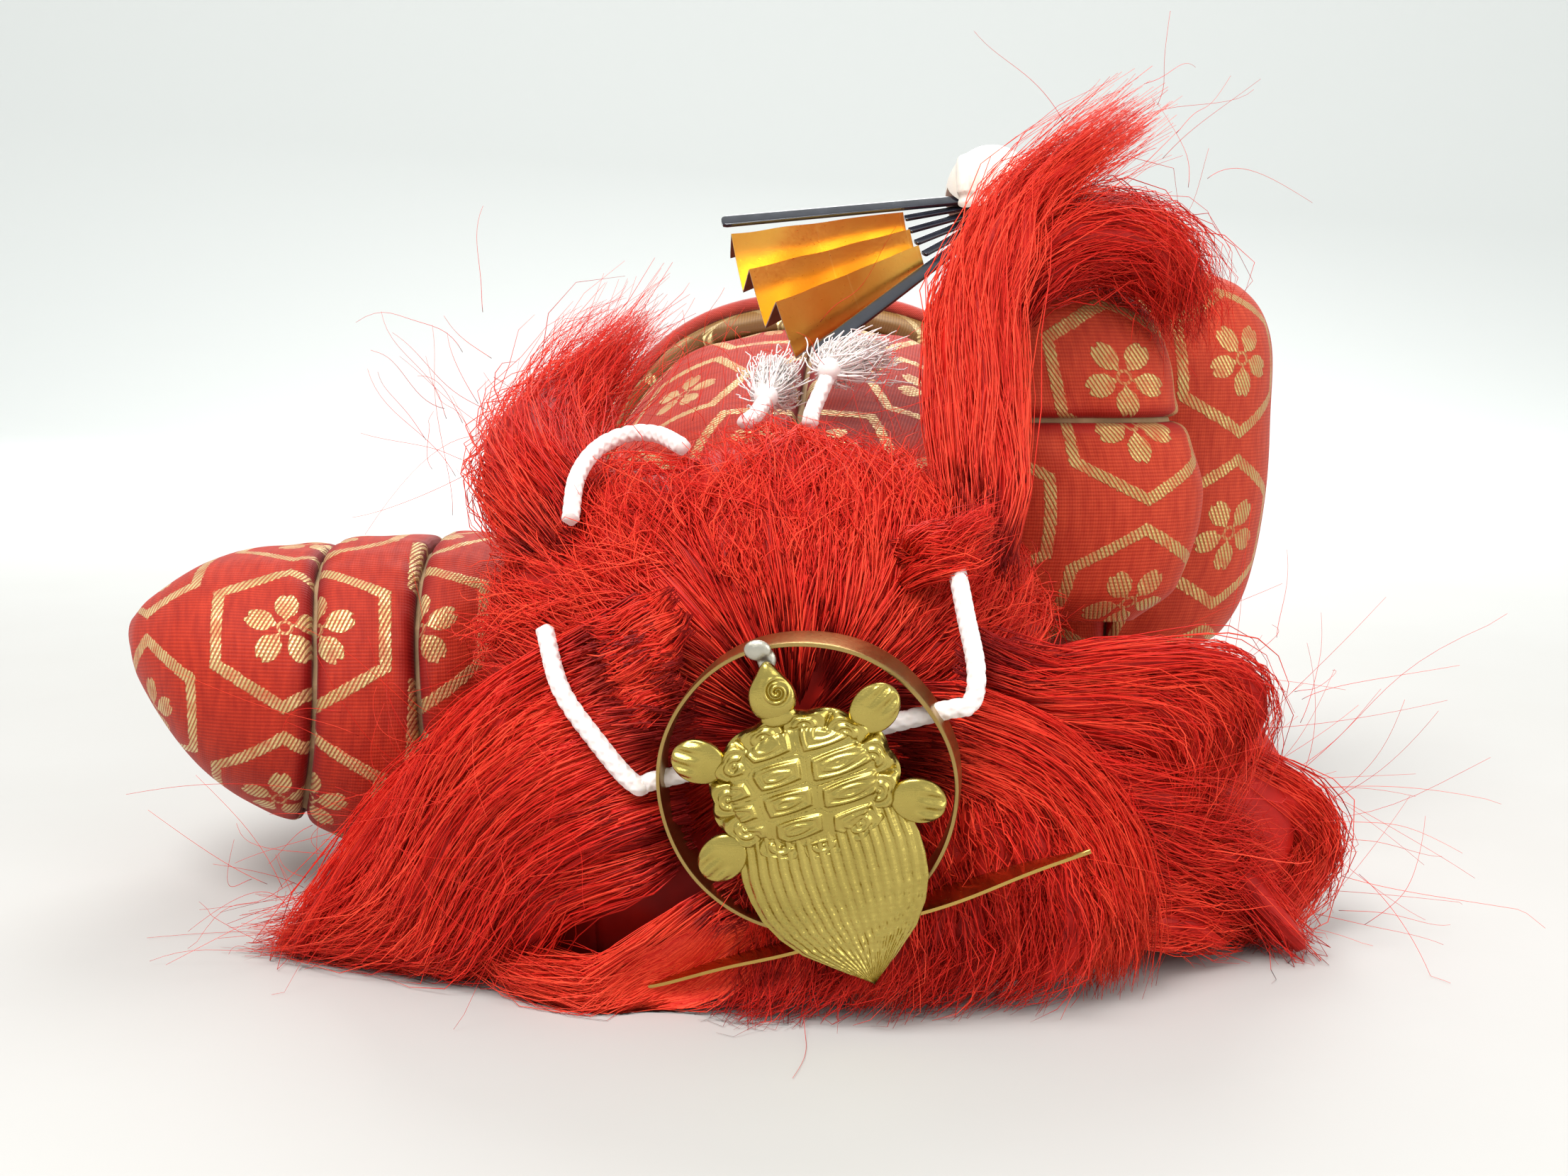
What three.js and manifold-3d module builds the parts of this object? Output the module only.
// A dance doll with a long red wig, a turtle crown and a half-open fan, lying on its back.
// Millimetres, +Z up. The crown of the head points to -Y, the feet to +Y and the doll's right hand
// to +X. The origin is on the table, under the middle of the head.
import * as THREE from 'three';
import { mergeVertices } from 'three/addons/utils/BufferGeometryUtils.js';
import Module from 'manifold-3d';

const wasm = await Module();
wasm.setup();

// ---------- driving sizes ----------
const GAP = 0.3; // between pieces that touch
const GROOVE = 0.6; // width of the groove that cloth edges are tucked into
const CLOTH = 1.3; // padded brocade over the core

// Sections of the robed body along Y: [y, middle x, half width, low z, high z]
const BODY = [
  [36, 0, 13, 19, 43],
  [42, 1, 24, 14, 49.5],
  [60, 3, 29.5, 7, 59.5],
  [85, 5, 31, 2, 67.5],
  [110, 4.5, 35, -3, 67.5],
  [140, 2, 40, -4, 64],
  [160, 0, 43, -4, 62],
];
const SASH_START = 78;
const SASH_END = 93;
const SASH_RAISED = 1.4;
const PLEAT_X = 15; // the lower robe's front panel is this far each side of the middle
const SIDE_SEAM_Z = 34; // the front panels lie above it, the back ones below

// Sections of the left sleeve along X: [x, middle y, half depth, low z, high z]
const LEFT_SLEEVE = [
  [-78, 24, 2.5, 27.5, 31],
  [-75.6, 24, 8, 23, 33.5],
  [-70, 25, 15, 14.5, 37.2],
  [-64.8, 26, 18.5, 9.8, 38.8],
  [-56, 27, 20.5, 5.6, 39.8],
  [-45.6, 28, 21.5, 2.4, 40.6],
  [-36, 30, 21, 2.4, 40.8],
  [-22, 40, 14, 12, 41],
];
const LEFT_GROOVES = [-57, -42.5];
const LEFT_GROOVE_LEAN = 0.09; // radians

// Sections of the right sleeve along Z: [z, middle x, half width, middle y, half depth]
const RIGHT_SLEEVE = [
  [23, 43, 9, 49, 10],
  [27, 43.5, 14, 50, 16],
  [36, 44.5, 16.5, 51, 18.5],
  [48, 46, 16.8, 52, 19],
  [60, 46.3, 17, 52, 19],
  [67, 46, 16, 52, 17.5],
  [71, 45.5, 13, 51, 14],
  [73.3, 45, 8, 51, 9],
];
// Sections of the piece in front of it, along Z
const RIGHT_FRONT = [
  [31, 37, 5, 26, 4],
  [35, 36.5, 10.5, 26, 6],
  [46, 36.5, 13.5, 26.5, 7],
  [58, 34.5, 12, 26.5, 7],
  [67, 33.5, 9.5, 26.5, 6],
  [70.5, 33, 6, 26.5, 4],
];
const FRONT_GROOVE_Z = 55;
const RIGHT_SPLIT_X = 44;

const HEAD = { x: 0, y: 1, z: 29, rx: 14.5, ry: 17, rz: 16 };
const NOSE = { x: 0, y: 3, rx: 1.5, ry: 2.6, rz: 1.2 };
const WIG_CAP = 1.2;
const NECK_RADIUS = 6.5;
const NECK_END = 40;
const PEG_RADIUS = 2.5;
const PEG_END = 58;

const WIG = { x: -2, y: 1, z: 30, rx: 31, ry: 23, rz: 24.7 };
const PARTING_Z = 31; // the fringe lies above, the crown hair below
const FACE_OPENING = { halfX: 12.5, y: -4, z: 36 };
const CROWN_SEAT = { radius: 19, y: -20.6 }; // the hollow combed into the hair for the crown

// Sections of the back hair along X: [x, middle y, half depth, low z, high z]
const BACK_HAIR = [
  [-57, -6, 1.5, -1, 2.5],
  [-50, -4, 8, -3, 6],
  [-40, 0, 14, -4, 14],
  [-33, 4, 19, -6, 23],
  [-20, 6, 26, -8, 29],
  [0, 6, 28.5, -9, 29],
  [20, 6, 26.5, -8, 31],
  [38, 6, 21, -6, 34],
  [48, 6, 16, -3, 31],
  [55, 5, 10, 2, 21],
  [58, 4, 3, 9, 14],
];
const HAIR_SPLITS = [-19, 19];

// Crown
const CROWN = { x: 2.3, y: -27.5, z: 23.6 };
const CROWN_TILT = { x: 0.07, z: -0.14 }; // the whole crown leans to the doll's left and down
const HOOP_RADIUS = 14.2;
const HOOP_WALL = 0.5;
const HOOP_DEPTH = 5;
const PLATE = 0.5;
const TURTLE_TILT = 0.33; // the head leans to the doll's left
const TURTLE_PLACE = { x: 0.1, z: 1 }; // its shell's middle, from the hoop's
const TURTLE_SHELL = { rx: 8.8, rz: 7 };
const TURTLE_HEAD = { z: 8.6, rx: 2.2, rz: 3.5 };
const TURTLE_TAIL = { half: 8.3, start: -5, bulge: 10.3, bulgeZ: -14, tip: -20.1 };
const FLIPPER = { rx: 2.6, rz: 2.1, lean: 0.5 };
const FLIPPERS = [[8.6, 5], [9.6, -4.4]]; // how far out and how far along, on each side
const PLATE_OFF = 1.2; // from the hoop's front edge to the turtle
const TAB = { x: -4.2, width: 2.4, height: 3.4, thick: 0.5 };
const BLADE = { length: 45, width: 6, thick: 0.4, lean: 0.353, off: 0.26, along: 0.2 };

// Cord and tassels
const CORD_RADIUS = 0.9;
const CORD_SIDES = 8;
const CORD_STEPS = 7;
const CROSS_Z = [23.4, 30.8]; // the cord's height where it meets the hoop's left and right sides
const CROSS_PAST = 1.6; // the crossing cord runs this far past the hoop at each end
const HOLE_CLEARANCE = 0.35;

// Fan: its sticks turn about a rivet inside the fist, in a plane that holds these two directions
const FAN = { x: 25.5, y: 48, z: 80.3 };
const UPPER_GUARD_WAY = [-1, 0, -0.09];
const LOWER_GUARD_WAY = [-0.636, -0.606, -0.485];
const FAN_OPENING = 46; // degrees from guard to guard
const FAN_RIBS = 4;
const FAN_RADIUS = 33.5;
const LEAF_START = 10.5;
const LEAF_END = 33;
const PLEATS = 6;
const PLEAT_DEPTH = 6;
const LEAF_THICK = 0.35;
const GUARD = { width: 1.9, thick: 0.6 };
const RIB = { width: 1.1, thick: 0.5 };
const RIVET_RADIUS = 0.7;
const RIVET_CLEARANCE = 0.05;
const STICK_STEP = 0.9; // from one stick's middle to the next, along the rivet
const STICK_TAIL = 1.8; // the sticks run this far past the rivet
const FAN_SWING = 12; // degrees that the fist leaves free on each side of the fan

// Hands
const RIGHT_HAND = { x: 27.8, y: 49, z: 82.4, rx: 6.6, ry: 6, rz: 7.1 };
const WIRE_RADIUS = 0.7;
const HAND_CLEARANCE = 1.2; // lets the left hand turn beside its sleeve
const LEFT_HAND = { x: -60, y: 50.5, z: 24 };
const FOOT = { x: 17, z: 22, rx: 7, rz: 11, length: 14, lift: 6 };
// Sections of a foot: [share of its length, share of its size]
const FOOT_SECTIONS = [[0, 0.72], [0.35, 0.8], [0.8, 1], [1, 0.94]];

// ---------- solids ----------
function solid(geometry) {
  const bare = geometry.clone();
  bare.deleteAttribute('normal');
  bare.deleteAttribute('uv');
  const merged = mergeVertices(bare, 1e-4);
  const mesh = new wasm.Mesh({
    numProp: 3,
    vertProperties: new Float32Array(merged.attributes.position.array),
    triVerts: new Uint32Array(merged.index.array),
  });
  return new wasm.Manifold(mesh);
}

function geometryOf(body) {
  const mesh = body.getMesh();
  const geometry = new THREE.BufferGeometry();
  geometry.setAttribute('position', new THREE.BufferAttribute(new Float32Array(mesh.vertProperties), 3));
  geometry.setIndex(new THREE.BufferAttribute(new Uint32Array(mesh.triVerts), 1));
  return geometry;
}

// The largest of the pieces that a cut left
function largest(body) {
  const pieces = body.decompose();
  return pieces.reduce((a, b) => (a.volume() >= b.volume() ? a : b));
}

function cut(body, ...tools) {
  return largest(tools.reduce((left, tool) => left.subtract(tool), body));
}

function volumeOf(positions, index) {
  const corner = (i) => new THREE.Vector3().fromArray(positions, 3 * index[i]);
  let six = 0;
  for (let i = 0; i < index.length; i += 3) {
    six += corner(i).dot(corner(i + 1).cross(corner(i + 2)));
  }
  return six / 6;
}

// A closed solid through rings of points, with a flat end on the first and the last ring
function throughRings(rings) {
  const sides = rings[0].length;
  const positions = rings.flat().flatMap((p) => [p.x, p.y, p.z]);
  const index = [];
  for (let r = 0; r < rings.length - 1; r++) {
    for (let i = 0; i < sides; i++) {
      const a = r * sides + i;
      const b = r * sides + ((i + 1) % sides);
      index.push(a, b, a + sides, b, b + sides, a + sides);
    }
  }
  const ends = [rings[0], rings[rings.length - 1]];
  ends.forEach((ring, which) => {
    const middle = ring.reduce((sum, p) => sum.add(p), new THREE.Vector3()).divideScalar(sides);
    const centre = positions.length / 3;
    positions.push(middle.x, middle.y, middle.z);
    const first = which * (rings.length - 1) * sides;
    for (let i = 0; i < sides; i++) {
      const a = first + i;
      const b = first + ((i + 1) % sides);
      index.push(...(which ? [centre, a, b] : [centre, b, a]));
    }
  });
  const turned = volumeOf(positions, index) < 0 ? index.reverse() : index;
  const geometry = new THREE.BufferGeometry();
  geometry.setAttribute('position', new THREE.Float32BufferAttribute(positions, 3));
  geometry.setIndex(turned);
  return geometry;
}

// Smooth values between the rows of a table whose first column rises or falls
function between(table) {
  const rows = table[0][0] < table[table.length - 1][0] ? table : [...table].reverse();
  const width = rows[0].length - 1;
  const values = rows.flatMap((row) => row.slice(1));
  const curve = new THREE.CubicInterpolant(rows.map((row) => row[0]), values, width);
  return (t) => Array.from(curve.evaluate(t));
}

function oval(sides, power, place) {
  const ring = [];
  for (let i = 0; i < sides; i++) {
    const a = (2 * Math.PI * (i + 0.5)) / sides;
    const round = (v) => Math.sign(v) * Math.abs(v) ** (2 / power);
    ring.push(place(round(Math.cos(a)), round(Math.sin(a))));
  }
  return ring;
}

// A solid along one axis whose sections come from a table. grow moves its surface out. past moves
// each end: a positive one carries the end section on, and a negative one starts further in.
function loft(table, place, { grow = 0, steps = 14, sides = 24, power = 2.4, past = [grow, grow] } = {}) {
  const read = between(table);
  const low = Math.min(table[0][0], table[table.length - 1][0]);
  const high = Math.max(table[0][0], table[table.length - 1][0]);
  const section = (at, from) => oval(sides, power, (u, v) => place(at, read(from), u, v, grow));
  const rings = [];
  for (let s = 1; s < steps; s++) {
    const t = low + ((high - low) * s) / steps;
    rings.push(section(t, t));
  }
  rings.unshift(section(low + Math.max(0, -past[0]), low));
  rings.push(section(high - Math.max(0, -past[1]), high));
  if (past[0] > 0) {
    rings.unshift(section(low - past[0], low));
  }
  if (past[1] > 0) {
    rings.push(section(high + past[1], high));
  }
  return solid(throughRings(rings));
}

const alongY = (y, [x, half, low, high], u, v, grow) =>
  new THREE.Vector3(x + u * (half + grow), y, (low + high) / 2 + v * ((high - low) / 2 + grow));
const alongX = (x, [y, half, low, high], u, v, grow) =>
  new THREE.Vector3(x, y + u * (half + grow), (low + high) / 2 + v * ((high - low) / 2 + grow));
const alongZ = (z, [x, halfX, y, halfY], u, v, grow) =>
  new THREE.Vector3(x + u * (halfX + grow), y + v * (halfY + grow), z);

function ball({ x, y, z, rx, ry, rz }, grow = 0, sides = 24, rows = 14) {
  const sphere = new THREE.SphereGeometry(1, sides, rows);
  sphere.scale(rx + grow, ry + grow, rz + grow);
  sphere.translate(x, y, z);
  return solid(sphere);
}

function box([x0, x1], [y0, y1], [z0, z1], lean = 0, axis = 'Y') {
  const shape = new THREE.BoxGeometry(x1 - x0, y1 - y0, z1 - z0);
  shape[`rotate${axis}`](lean);
  shape.translate((x0 + x1) / 2, (y0 + y1) / 2, (z0 + z1) / 2);
  return solid(shape);
}

// A round rod between two points
function rod(from, to, radius, sides = 12) {
  const along = new THREE.Vector3().subVectors(to, from);
  const shape = new THREE.CylinderGeometry(radius, radius, along.length(), sides);
  const turn = new THREE.Quaternion().setFromUnitVectors(point(0, 1, 0), along.normalize());
  shape.applyQuaternion(turn);
  const middle = new THREE.Vector3().addVectors(from, to).multiplyScalar(0.5);
  shape.translate(middle.x, middle.y, middle.z);
  return solid(shape);
}

const point = (x, y, z) => new THREE.Vector3(x, y, z);
const EVERYWHERE = [-300, 300];
const above = (z) => box(EVERYWHERE, EVERYWHERE, [z, 300]);
const aboveTable = above(0);

// A tapering lock of hair along a curve: radii holds one radius for each point, flat squeezes it along Y
function lock(points, radii, { flat = 0.8, steps = 10, sides = 10, grow = 0 } = {}) {
  const curve = new THREE.CatmullRomCurve3(points);
  const radius = between(radii.map((r, i) => [i / (radii.length - 1), r]));
  const frames = curve.computeFrenetFrames(steps, false);
  const rings = [];
  for (let s = 0; s <= steps; s++) {
    const at = curve.getPoint(s / steps);
    const [r] = radius(s / steps);
    rings.push(
      oval(sides, 2, (u, v) => {
        const out = frames.normals[s].clone().multiplyScalar(u * (r + grow));
        out.addScaledVector(frames.binormals[s], v * (r + grow));
        out.y *= flat;
        return out.add(at);
      }),
    );
  }
  return solid(throughRings(rings));
}

// A round cord along a curve
function cord(points, radius = CORD_RADIUS) {
  const section = new THREE.Shape();
  section.absarc(0, 0, radius, 0, 2 * Math.PI);
  const path = new THREE.CatmullRomCurve3(points);
  const options = { steps: CORD_STEPS, extrudePath: path, curveSegments: CORD_SIDES / 2 };
  return new THREE.ExtrudeGeometry(section, options);
}

// ---------- the object ----------
const doll = new THREE.Group();

const LOOKS = {
  core: { color: 0xa98a68, roughness: 0.9 },
  brocade: { color: 0xc9502f, roughness: 0.6 },
  sash: { color: 0xb08a3c, roughness: 0.55 },
  hair: { color: 0xb01c16, roughness: 0.45 },
  white: { color: 0xe9e4da, roughness: 0.4 },
  red: { color: 0xa51f1a, roughness: 0.6 },
  gilt: { color: 0xb59a4a, roughness: 0.25, metalness: 1 },
  cord: { color: 0xf0ece6, roughness: 0.6 },
  lacquer: { color: 0x0c0c0e, roughness: 0.15 },
  leaf: { color: 0xe0a93a, roughness: 0.3, metalness: 0.9 },
  wire: { color: 0x9a9a9a, roughness: 0.4, metalness: 1 },
  cap: { color: 0x3a0f0d, roughness: 0.9 },
};

function add(name, body, look) {
  const geometry = body.isBufferGeometry ? body : geometryOf(body);
  const mesh = new THREE.Mesh(geometry, new THREE.MeshStandardMaterial(LOOKS[look]));
  mesh.name = name;
  doll.add(mesh);
}

// ----- shapes that other pieces are fitted to -----
const body = (grow, past = [grow, grow]) => loft(BODY, alongY, { grow, past, steps: 8, sides: 20 });
const leftSleeve = (grow, past = [grow, grow]) =>
  loft(LEFT_SLEEVE, alongX, { grow, past, steps: 10, sides: 16, power: 2.2 });
const rightSleeve = (grow) => loft(RIGHT_SLEEVE, alongZ, { grow, steps: 8, sides: 16, power: 2.8 });
const rightFront = (grow) => loft(RIGHT_FRONT, alongZ, { grow, steps: 6, sides: 14, power: 2.6 });
const wig = (grow) => ball(WIG, grow, 20, 12);
const neckAxis = (y) => point(HEAD.x, y, HEAD.z + 1);
const neck = (grow) => rod(neckAxis(HEAD.y), neckAxis(NECK_END + grow), NECK_RADIUS + grow, 12);
const peg = (grow) => rod(neckAxis(NECK_END + GAP - grow), neckAxis(PEG_END + grow), PEG_RADIUS + grow);

// ----- body -----
function bodyPieces() {
  const inside = body(-CLOTH - GAP, [-0.2, -0.2]);
  const clear = [leftSleeve(GAP), rightSleeve(GAP), rightFront(GAP), neck(GAP)];
  add('body_core', cut(inside.intersect(above(CLOTH + GAP)), peg(GAP), ...clear), 'core');
  const hollow = body(-CLOTH, [5, 5]).intersect(above(CLOTH));
  const skin = body(0).subtract(hollow).intersect(aboveTable);
  const g = GROOVE / 2;
  const chest = [0, SASH_START - g];
  const lower = [SASH_END + g, 300];
  const panel = (name, xs, ys, zs) => {
    add(name, cut(skin.intersect(box(xs, ys, zs)), ...clear), 'brocade');
  };
  panel('robe_chest_left', [-300, -g], chest, [SIDE_SEAM_Z + g, 300]);
  panel('robe_chest_right', [g, 300], chest, [SIDE_SEAM_Z + g, 300]);
  panel('robe_back', EVERYWHERE, chest, [-300, SIDE_SEAM_Z - g]);
  panel('skirt_front', [-PLEAT_X + g, PLEAT_X - g], lower, [SIDE_SEAM_Z + g, 300]);
  panel('skirt_left', [-300, -PLEAT_X - g], lower, [SIDE_SEAM_Z + g, 300]);
  panel('skirt_right', [PLEAT_X + g, 300], lower, [SIDE_SEAM_Z + g, 300]);
  panel('skirt_back', EVERYWHERE, lower, [-300, SIDE_SEAM_Z - g]);
  const band = box(EVERYWHERE, [SASH_START + g, SASH_END - g], [0, 300]);
  add('sash', cut(body(SASH_RAISED).subtract(hollow).intersect(band), ...clear), 'sash');
}

function knotAndCollars() {
  const middle = (SASH_START + SASH_END) / 2;
  const knot = ball({ x: 5, y: middle, z: 69.5, rx: 7, ry: 4.5, rz: 3 }, 0, 12, 8);
  add('sash_knot', cut(knot, body(SASH_RAISED + GAP)), 'sash');
  const collar = (name, inner, outer, y0, y1, look) => {
    const outline = [
      new THREE.Vector2(inner, y0),
      new THREE.Vector2(outer - 1, y0),
      new THREE.Vector2(outer, y1),
      new THREE.Vector2(inner, y1),
      new THREE.Vector2(inner, y0),
    ];
    const ring = new THREE.LatheGeometry(outline, 16);
    ring.translate(HEAD.x, 0, HEAD.z + 1);
    const shape = cut(solid(ring), rightFront(GAP), leftSleeve(GAP));
    add(name, shape, look);
  };
  const seat = BODY[0][0] - GAP;
  collar('collar_white', NECK_RADIUS + GAP, NECK_RADIUS + 2.4, seat - 4, seat, 'white');
  collar('collar_red', NECK_RADIUS + 2.4 + GAP, NECK_RADIUS + 5, seat - 3, seat, 'red');
}

// ----- sleeves -----
function leftSleevePieces() {
  add('left_sleeve_core', cut(leftSleeve(-CLOTH - GAP, [-CLOTH - GAP, 0]), leftWire(GAP)), 'core');
  const skin = leftSleeve(0).subtract(leftSleeve(-CLOTH, [-CLOTH, 5]));
  const [outer, inner] = LEFT_GROOVES;
  const g = GROOVE / 2;
  const slice = (from, to) => box([from, to], EVERYWHERE, EVERYWHERE, LEFT_GROOVE_LEAN);
  const far = 200;
  const past = (x) => slice(x - g, x - g + far);
  const before = (x) => slice(x + g - far, x + g);
  add('left_sleeve_nose', cut(skin, past(outer), leftWire(GAP)), 'brocade');
  add('left_sleeve_middle', cut(skin, before(outer), past(inner), leftWire(GAP)), 'brocade');
  add('left_sleeve_shoulder', cut(skin, before(inner)), 'brocade');
}

function rightSleevePieces() {
  add('right_sleeve_core', cut(rightSleeve(-CLOTH - GAP), rightWire(GAP)), 'core');
  const skin = cut(rightSleeve(0).subtract(rightSleeve(-CLOTH)), rightWire(GAP));
  const g = GROOVE / 2;
  const outside = box([RIGHT_SPLIT_X + g, 300], EVERYWHERE, EVERYWHERE);
  const inside = box([-300, RIGHT_SPLIT_X - g], EVERYWHERE, EVERYWHERE);
  add('right_sleeve_outer', cut(skin.intersect(outside)), 'brocade');
  add('right_sleeve_inner', cut(skin.intersect(inside)), 'brocade');
  add('right_shoulder_core', cut(rightFront(-CLOTH - GAP), rightSleeve(GAP)), 'core');
  const front = rightFront(0).subtract(rightFront(-CLOTH)).subtract(rightSleeve(GAP));
  const upper = box(EVERYWHERE, EVERYWHERE, [FRONT_GROOVE_Z + g, 300]);
  const lower = box(EVERYWHERE, EVERYWHERE, [-300, FRONT_GROOVE_Z - g]);
  add('right_shoulder_upper', cut(front.intersect(upper)), 'brocade');
  add('right_shoulder_lower', cut(front.intersect(lower)), 'brocade');
}

// ----- hands and feet -----
const rightPalm = point(RIGHT_HAND.x + 3, RIGHT_HAND.y + 1, RIGHT_HAND.z - 1.5);
const rightWrist = point(41, 52, 68);
const leftPalm = point(LEFT_HAND.x, LEFT_HAND.y + 1, LEFT_HAND.z);
const leftWrist = point(-57, 30, 24);
const rightWire = (grow) => rod(rightPalm, rightWrist, WIRE_RADIUS + grow);
const leftWire = (grow) => rod(leftPalm, leftWrist, WIRE_RADIUS + grow);

// The space inside the fist that the sticks turn in: round behind the rivet and wide open the way
// the fan points
function gripSlot() {
  const reach = 14;
  const half = ((FAN_RIBS + 1) / 2) * STICK_STEP + GUARD.thick / 2 + GAP;
  const round = Math.hypot(STICK_TAIL, GUARD.width / 2) + GAP;
  const mouth = [-FAN_SWING, FAN_OPENING / 2, FAN_OPENING + FAN_SWING];
  const outline = mouth.map((degrees) => alongStick(degrees, reach));
  const backSteps = 8;
  for (let i = 0; i <= backSteps; i++) {
    const from = FAN_OPENING + FAN_SWING + 60;
    const to = 300 - FAN_SWING;
    outline.push(alongStick(from + ((to - from) * i) / backSteps, round));
  }
  const moved = (depth) => outline.map((p) => p.clone().addScaledVector(fanNormal, depth));
  return solid(throughRings([moved(-half), moved(half)]));
}

function hands() {
  const slot = gripSlot();
  add('right_hand', cut(ball(RIGHT_HAND, 0, 14, 8), slot, rightWire(GAP)), 'white');
  add('right_hand_wire', cut(rightWire(0), slot), 'wire');
  const palm = ball({ ...LEFT_HAND, rx: 5, ry: 6.5, rz: 4 }, 0, 12, 8);
  add('left_hand', cut(palm, leftWire(GAP), leftSleeve(HAND_CLEARANCE)), 'white');
  add('left_hand_wire', leftWire(0), 'wire');
}

function feet() {
  for (const [name, side] of [['left', -1], ['right', 1]]) {
    const hem = BODY[BODY.length - 1][0];
    const rings = FOOT_SECTIONS.map(([t, share]) => {
      const y = hem + GAP + t * FOOT.length;
      const z = FOOT.z + FOOT.lift * t;
      const place = (u, v) => point(side * FOOT.x + u * FOOT.rx * share, y, z + v * FOOT.rz * share);
      return oval(16, 2.4, place);
    });
    add(`${name}_foot`, solid(throughRings(rings)), 'white');
  }
}

// ----- head and hair -----
function head() {
  const skull = ball(HEAD, 0, 16, 10);
  const nose = ball({ ...NOSE, z: HEAD.z + HEAD.rz - 0.2 }, 0, 10, 6);
  const throat = neck(0);
  add('head', largest(skull.add(nose).add(throat)), 'white');
  add('neck_peg', peg(0), 'core');
  const shell = ball(HEAD, WIG_CAP + GAP, 16, 10).subtract(ball(HEAD, GAP, 16, 10));
  const face = box(EVERYWHERE, [FACE_OPENING.y, 100], [FACE_OPENING.z - 6, 100]);
  const nape = box(EVERYWHERE, [HEAD.y + 9, 100], EVERYWHERE);
  add('wig_cap', cut(shell, face, nape), 'cap');
}

const crownSeat = () =>
  rod(point(CROWN.x, -60, CROWN.z), point(CROWN.x, CROWN_SEAT.y, CROWN.z), CROWN_SEAT.radius, 16);
const headInHair = () => ball(HEAD, WIG_CAP + 2 * GAP, 16, 10);
const clothes = () => [body(GAP), leftSleeve(GAP), rightSleeve(GAP), rightFront(GAP), neck(GAP)];

const RIGHT_LOCK = [
  [21.5, -4, 46],
  [20.7, 4, 56],
  [21.5, 11, 68],
  [27.5, 15, 79],
  [40, 17, 91.5],
];
const RIGHT_LOCK_RADII = [5, 5.6, 5.3, 5, 1];
const ARCH_LOCK = [
  [30.5, 18, 74],
  [36.5, 19.5, 76.5],
  [42.5, 20, 75.5],
  [46, 20, 71.5],
  [45.5, 19, 66.5],
];
const ARCH_RADII = [3.5, 4.5, 5, 4, 1];
const LEFT_LOCK = [
  [-21, -3, 44],
  [-31, 10, 49],
  [-29, 24, 56],
  [-18, 33, 66],
];
const LEFT_LOCK_RADII = [5, 8, 7, 1];
const points = (table) => table.map((p) => point(...p));
const rightLock = (grow) => lock(points(RIGHT_LOCK), RIGHT_LOCK_RADII, { grow });
const leftLock = (grow) => lock(points(LEFT_LOCK), LEFT_LOCK_RADII, { grow });

function hair() {
  const mass = cut(wig(0), headInHair(), crownSeat(), ...clothes());
  const g = GAP / 2;
  const { halfX, y, z } = FACE_OPENING;
  const face = box([-halfX, halfX], [y, 100], [z - 8, 100]);
  const upper = mass.intersect(box(EVERYWHERE, EVERYWHERE, [PARTING_Z + g, 300]));
  add('fringe', cut(upper, face, rightLock(GAP), leftLock(GAP)), 'hair');
  const lower = mass.intersect(box(EVERYWHERE, EVERYWHERE, [-300, PARTING_Z - g])).intersect(aboveTable);
  add('crown_hair', cut(lower), 'hair');
  add('side_lock_right', cut(rightLock(0), headInHair(), rightFront(GAP)), 'hair');
  const arch = lock(points(ARCH_LOCK), ARCH_RADII);
  add('side_lock_arch', cut(arch, rightLock(GAP), rightSleeve(GAP), rightFront(GAP)), 'hair');
  add('side_lock_left', cut(leftLock(0), headInHair(), ...clothes()), 'hair');
  const spread = loft(BACK_HAIR, alongX, { steps: 14, sides: 14, power: 2.3 }).intersect(aboveTable);
  const free = cut(spread, wig(GAP), crownSeat(), headInHair(), ...clothes());
  const [left, right] = HAIR_SPLITS;
  const parts = { left: [-300, left - g], centre: [left + g, right - g], right: [right + g, 300] };
  for (const [name, xs] of Object.entries(parts)) {
    add(`back_hair_${name}`, cut(free.intersect(box(xs, EVERYWHERE, EVERYWHERE))), 'hair');
  }
}

// ----- crown -----
const crownPlace = new THREE.Matrix4()
  .makeTranslation(CROWN.x, CROWN.y, CROWN.z)
  .multiply(new THREE.Matrix4().makeRotationZ(CROWN_TILT.z))
  .multiply(new THREE.Matrix4().makeRotationX(CROWN_TILT.x));
const placed = (geometry) => solid(geometry.applyMatrix4(crownPlace));
const onHoop = (z, side) => {
  const drop = z - CROWN.z;
  return point(side * Math.sqrt(HOOP_RADIUS ** 2 - drop ** 2), 0, drop).applyMatrix4(crownPlace);
};
const crossLeft = onHoop(CROSS_Z[0], -1);
const crossRight = onHoop(CROSS_Z[1], 1);
const crossWay = new THREE.Vector3().subVectors(crossRight, crossLeft).normalize();
function crossing(radius, past) {
  const from = crossLeft.clone().addScaledVector(crossWay, -past);
  const to = crossRight.clone().addScaledVector(crossWay, past);
  return rod(from, to, radius, 8);
}

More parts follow.
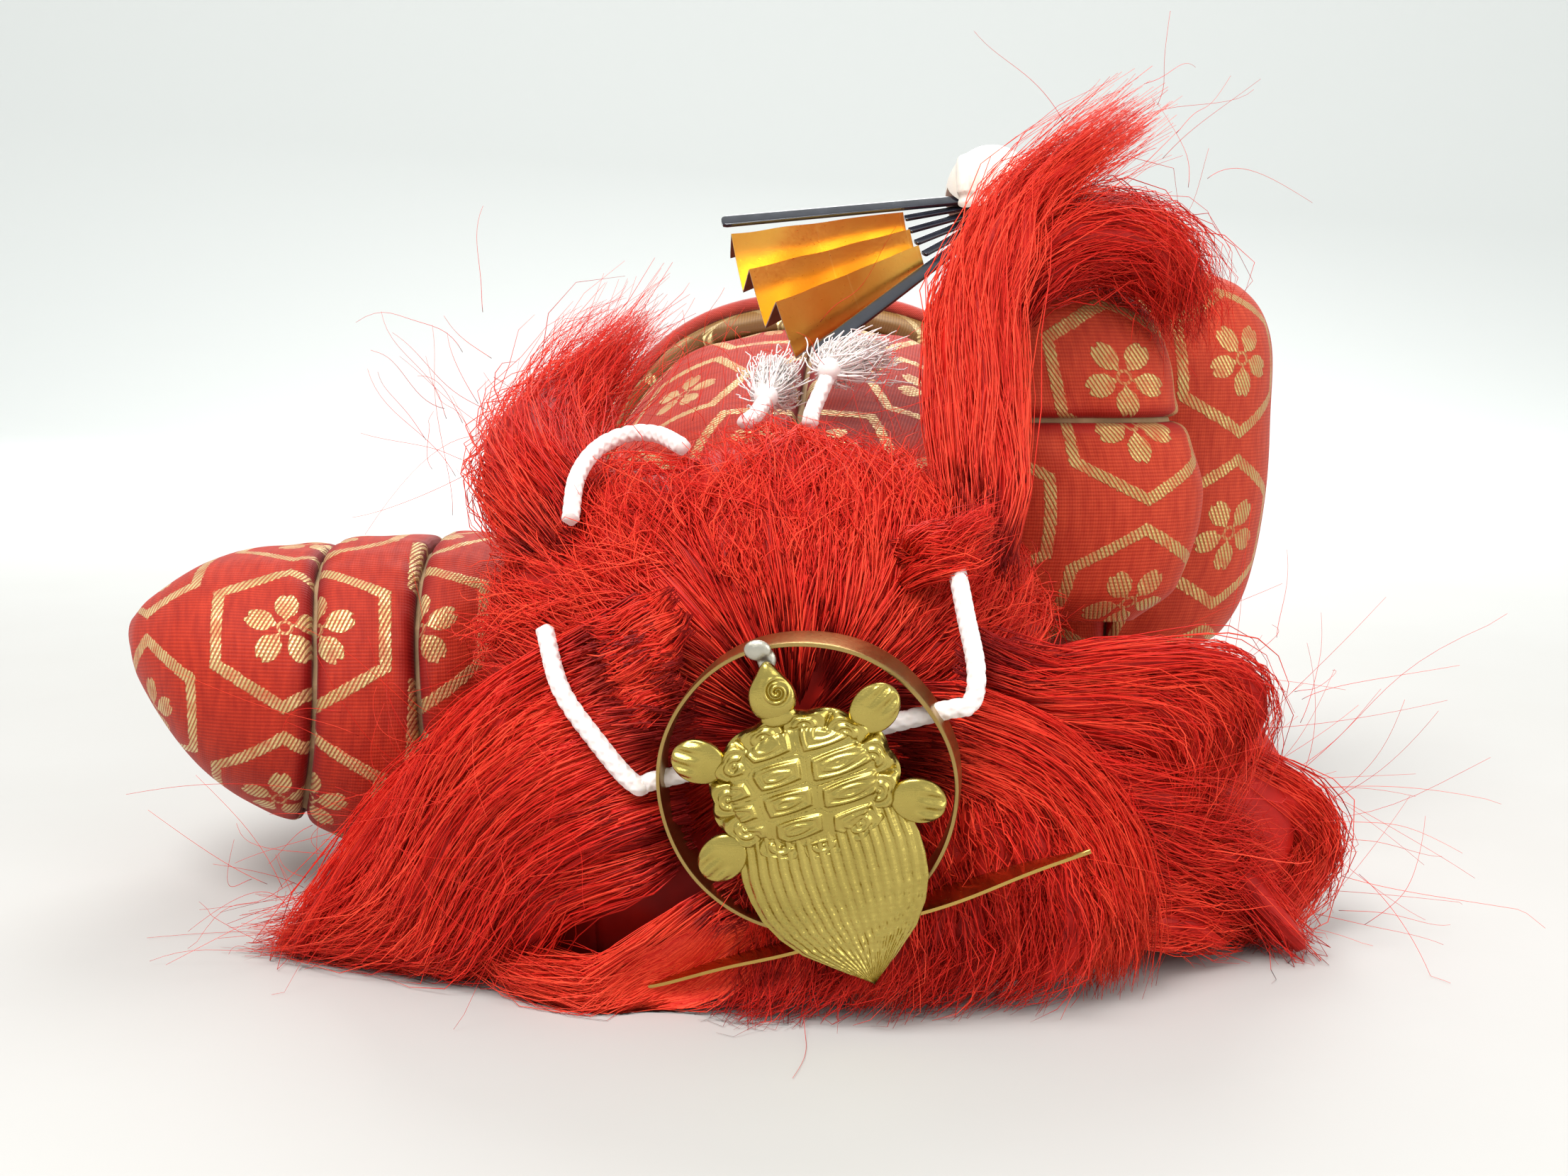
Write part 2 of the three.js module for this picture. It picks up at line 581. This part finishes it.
function crown() {
  const half = HOOP_DEPTH / 2;
  const outline = [
    new THREE.Vector2(HOOP_RADIUS - HOOP_WALL, -half),
    new THREE.Vector2(HOOP_RADIUS, -half),
    new THREE.Vector2(HOOP_RADIUS, half),
    new THREE.Vector2(HOOP_RADIUS - HOOP_WALL, half),
    new THREE.Vector2(HOOP_RADIUS - HOOP_WALL, -half),
  ];
  const ring = new THREE.LatheGeometry(outline, 32);
  add('crown_hoop', cut(placed(ring), crossing(CORD_RADIUS + HOLE_CLEARANCE, 3)), 'gilt');
  add('turtle_plate', turtle(), 'gilt');
  const tab = new THREE.BoxGeometry(TAB.width, TAB.thick, TAB.height);
  tab.translate(TAB.x, -half - PLATE_OFF / 2, HOOP_RADIUS - TAB.height / 2);
  add('solder_tab', placed(tab), 'gilt');
  add('crown_blade', blade(), 'gilt');
}

// The long-tailed turtle, cut from thin sheet: shell, head, four flippers and a tail that ends in a point
function turtle() {
  const front = -HOOP_DEPTH / 2 - PLATE_OFF - PLATE;
  const { half, start, bulge, bulgeZ, tip } = TURTLE_TAIL;
  const tail = new THREE.Shape();
  tail.moveTo(-half, start);
  tail.quadraticCurveTo(-bulge, bulgeZ, 0, tip);
  tail.quadraticCurveTo(bulge, bulgeZ, half, start);
  tail.closePath();
  const disc = (x, z, rx, rz, turn) => {
    const shape = new THREE.Shape();
    shape.absellipse(x, z, rx, rz, 0, 2 * Math.PI, false, turn);
    return shape;
  };
  const flippers = FLIPPERS.flatMap(([x, z]) =>
    [-1, 1].map((side) => {
      const turn = side * Math.sign(z) * FLIPPER.lean;
      return disc(side * x, z, FLIPPER.rx, FLIPPER.rz, turn);
    }),
  );
  const shell = disc(0, 0, TURTLE_SHELL.rx, TURTLE_SHELL.rz, 0);
  const head = disc(0, TURTLE_HEAD.z, TURTLE_HEAD.rx, TURTLE_HEAD.rz, 0);
  const outlines = [tail, shell, head, ...flippers];
  const sheets = outlines.map((shape) => {
    const options = { depth: PLATE, bevelEnabled: false, curveSegments: 6 };
    const sheet = new THREE.ExtrudeGeometry(shape, options);
    sheet.rotateX(Math.PI / 2);
    sheet.translate(0, PLATE, 0);
    return solid(sheet);
  });
  const whole = sheets.reduce((a, b) => a.add(b));
  const shape = geometryOf(largest(whole));
  shape.rotateY(-TURTLE_TILT);
  shape.translate(TURTLE_PLACE.x, front, TURTLE_PLACE.z);
  return placed(shape);
}

function blade() {
  const { length, width, thick, lean, off, along } = BLADE;
  const outline = new THREE.Shape();
  outline.moveTo(-length / 2, 0);
  outline.quadraticCurveTo(0, -width, length / 2, 0);
  outline.quadraticCurveTo(0, width, -length / 2, 0);
  const options = { depth: thick, bevelEnabled: false, curveSegments: 8 };
  const strip = new THREE.ExtrudeGeometry(outline, options);
  strip.translate(0, 0, -thick / 2);
  strip.rotateY(-lean);
  const below = HOOP_RADIUS + off;
  strip.translate(
    along * Math.cos(lean) + below * Math.sin(lean),
    0,
    along * Math.sin(lean) - below * Math.cos(lean),
  );
  return placed(strip);
}

// ----- crown cord and tassels -----
const FRINGE_LOOP = [
  [-21.4, -12.2, 46.8],
  [-21.2, -7.5, 50.6],
  [-19.6, -3, 53.2],
  [-16.5, -1.6, 54.7],
  [-13.2, -3.4, 54.8],
  [-10.3, -8, 53.8],
];
const LEFT_FALL = [
  [-23.5, -17.5, 36.5],
  [-21.5, -22, 31.5],
  [-18, -24.3, 27],
  [-14.2, -25.6, 23],
];
const RIGHT_FALL = [
  [17.2, -29.3, 31.5],
  [17.9, -27.5, 34.3],
  [17.4, -22, 38.6],
  [16.8, -17.2, 42.8],
  [16, -13.6, 45.6],
];
const LEFT_STEM = [
  [-4.2, 2.5, 55.7],
  [-3.1, 6, 56.4],
  [-2, 10, 58],
];
const RIGHT_STEM = [
  [2.8, 2.5, 55.7],
  [3.2, 6, 57],
  [5, 9.5, 60.8],
];
const TASSELS = {
  tassel_left: { x: -0.8, y: 15, z: 60, rx: 3.6, ry: 5, rz: 3.8 },
  tassel_right: { x: 9.6, y: 13.4, z: 63.2, rx: 5.4, ry: 5, rz: 3 },
};

function cords() {
  add('cord_crossing', crossing(CORD_RADIUS, CROSS_PAST), 'cord');
  const runs = {
    cord_left_fall: points(LEFT_FALL),
    cord_right_fall: points(RIGHT_FALL),
    cord_fringe_loop: points(FRINGE_LOOP),
    cord_left_stem: points(LEFT_STEM),
    cord_right_stem: points(RIGHT_STEM),
  };
  for (const [name, run] of Object.entries(runs)) {
    add(name, cord(run), 'cord');
  }
  for (const [name, place] of Object.entries(TASSELS)) {
    const stem = points(name === 'tassel_left' ? LEFT_STEM : RIGHT_STEM);
    const clear = solid(cord(stem, CORD_RADIUS + GAP));
    add(name, cut(ball(place, 0, 10, 7), clear, rightLock(GAP)), 'cord');
  }
}

// ----- fan -----
const toRadians = (degrees) => (degrees * Math.PI) / 180;
const fanStart = new THREE.Vector3(...UPPER_GUARD_WAY).normalize();
const fanEnd = new THREE.Vector3(...LOWER_GUARD_WAY);
const fanNormal = new THREE.Vector3().crossVectors(fanStart, fanEnd).normalize();
const fanAcross = new THREE.Vector3().crossVectors(fanNormal, fanStart);

// A point in the fan: an angle from the upper guard and a radius, then across the stick and along the rivet
function alongStick(degrees, radius, across = 0, depth = 0) {
  const a = toRadians(degrees);
  const along = fanStart.clone().multiplyScalar(Math.cos(a)).addScaledVector(fanAcross, Math.sin(a));
  const sideways = fanStart.clone().multiplyScalar(-Math.sin(a)).addScaledVector(fanAcross, Math.cos(a));
  return point(FAN.x, FAN.y, FAN.z)
    .addScaledVector(along, radius)
    .addScaledVector(sideways, across)
    .addScaledVector(fanNormal, depth);
}

function stick(degrees, { width, thick }, end, depth) {
  const corners = [[-1, -1], [1, -1], [1, 1], [-1, 1]];
  const ring = (radius) =>
    corners.map(([u, v]) => alongStick(degrees, radius, (u * width) / 2, depth + (v * thick) / 2));
  return solid(throughRings([ring(-STICK_TAIL), ring(end)]));
}

function fan() {
  const last = FAN_RIBS + 1;
  const depthOf = (i) => (last / 2 - i) * STICK_STEP;
  const rivet = (grow) => {
    const reach = (last / 2) * STICK_STEP + GUARD.thick + grow;
    return rod(alongStick(0, 0, 0, -reach), alongStick(0, 0, 0, reach), RIVET_RADIUS + grow, 10);
  };
  for (let i = 0; i <= last; i++) {
    const outer = i === 0 || i === last;
    const name = outer ? `fan_guard_${i === 0 ? 'upper' : 'lower'}` : `fan_rib_${i}`;
    const end = outer ? FAN_RADIUS : LEAF_START - GAP;
    const bar = stick((FAN_OPENING * i) / last, outer ? GUARD : RIB, end, depthOf(i));
    add(name, cut(bar, rivet(RIVET_CLEARANCE)), 'lacquer');
  }
  add('fan_rivet', rivet(0), 'wire');
  add('fan_leaf', leaf(depthOf(0), depthOf(last)), 'leaf');
}

// The pleated paper: mountain and valley folds between the two guards
function leaf(firstDepth, lastDepth) {
  const clear = ((GUARD.width / 2 + GAP) / LEAF_START) * (180 / Math.PI);
  const span = FAN_OPENING - 2 * clear;
  const rings = [];
  for (let f = 0; f <= PLEATS; f++) {
    const degrees = clear + (span * f) / PLEATS;
    const middle = firstDepth + ((lastDepth - firstDepth) * f) / PLEATS;
    const depth = middle + (f % 2 ? 1 : -1) * (PLEAT_DEPTH / 2);
    const corners = [[LEAF_START, 0], [LEAF_END, 0], [LEAF_END, 1], [LEAF_START, 1]];
    rings.push(
      corners.map(([radius, side]) => {
        const share = radius / FAN_RADIUS;
        return alongStick(degrees, radius, 0, middle + (depth - middle) * share + side * LEAF_THICK);
      }),
    );
  }
  return solid(throughRings(rings));
}

bodyPieces();
knotAndCollars();
leftSleevePieces();
rightSleevePieces();
hands();
feet();
head();
hair();
crown();
cords();
fan();

export default doll;
